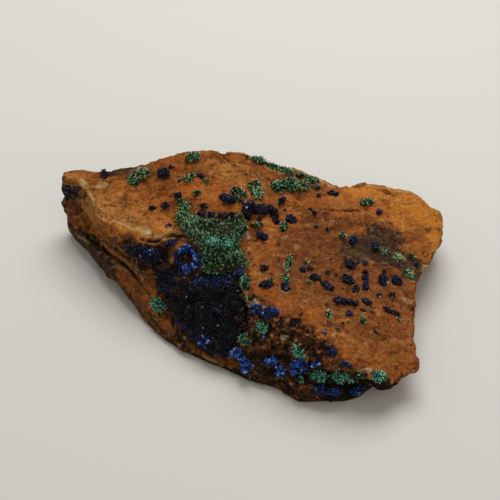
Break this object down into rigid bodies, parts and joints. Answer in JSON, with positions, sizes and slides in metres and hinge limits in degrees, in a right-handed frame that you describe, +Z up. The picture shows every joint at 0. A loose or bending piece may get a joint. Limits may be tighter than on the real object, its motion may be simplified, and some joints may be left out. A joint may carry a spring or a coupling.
{
  "type": "azurite and malachite mineral specimen",
  "caption": "Wedge of rusty limonite rock with scattered dark blue azurite crystal clusters and green malachite tufts; rests on its flat underside.",
  "frame": {"origin": "on the surface the specimen rests on, under the middle of its bounding box", "axes": "+X along the specimen's length, from its pointed left end to its broad right end; +Y towards its tall back edge; +Z up, square to its flat underside"},
  "size_m": [0.123, 0.0784, 0.0356],
  "materials": {
    "limonite": "matte",
    "azurite": "satin",
    "malachite": "matte"
  },
  "bodies": {
    "root": {"limonite_matrix": "limonite", "azurite_blade": "azurite", "azurite_brown_east": "azurite", "azurite_brown_west": "azurite", "azurite_colony": "azurite", "azurite_crest_row": "azurite", "azurite_crust": "azurite", "azurite_field_bar": "azurite", "azurite_field_bow": "azurite", "azurite_field_chain_head": "azurite", "azurite_field_east": "azurite", "azurite_field_low": "azurite", "azurite_field_low_east": "azurite", "azurite_field_middle": "azurite", "azurite_field_post": "azurite", "azurite_field_tall": "azurite", "azurite_field_top": "azurite", "azurite_field_wedge": "azurite", "azurite_field_west": "azurite", "azurite_front_bead": "azurite", "azurite_front_corner": "azurite", "azurite_front_east": "azurite", "azurite_front_low": "azurite", "azurite_front_middle": "azurite", "azurite_front_west": "azurite", "azurite_hook": "azurite", "azurite_ledge_row": "azurite", "azurite_lip_patch": "azurite", "azurite_north_pair": "azurite", "azurite_ring": "azurite", "azurite_shore_crest": "azurite", "azurite_shore_strip": "azurite", "azurite_shoulder": "azurite", "azurite_slope_bead": "azurite", "azurite_spur_east": "azurite", "azurite_stalk_foot": "azurite", "azurite_west_post": "azurite", "malachite_brown_bead": "malachite", "malachite_colony_spur": "malachite", "malachite_crest_inlay": "malachite", "malachite_crust_edge_tuft": "malachite", "malachite_east_rim_tuft": "malachite", "malachite_east_tuft": "malachite", "malachite_edge_tuft_east": "malachite", "malachite_edge_tufts": "malachite", "malachite_field_chain": "malachite", "malachite_field_twin": "malachite", "malachite_mound": "malachite", "malachite_north_fan": "malachite", "malachite_north_knot": "malachite", "malachite_north_spread": "malachite", "malachite_peak_tuft": "malachite", "malachite_rim_strip": "malachite", "malachite_shore_tuft": "malachite", "malachite_shoulder_tuft": "malachite", "malachite_slope_star": "malachite", "malachite_slope_tuft_high": "malachite", "malachite_slope_tuft_low": "malachite", "malachite_stalk": "malachite"}
  },
  "joints": []
}
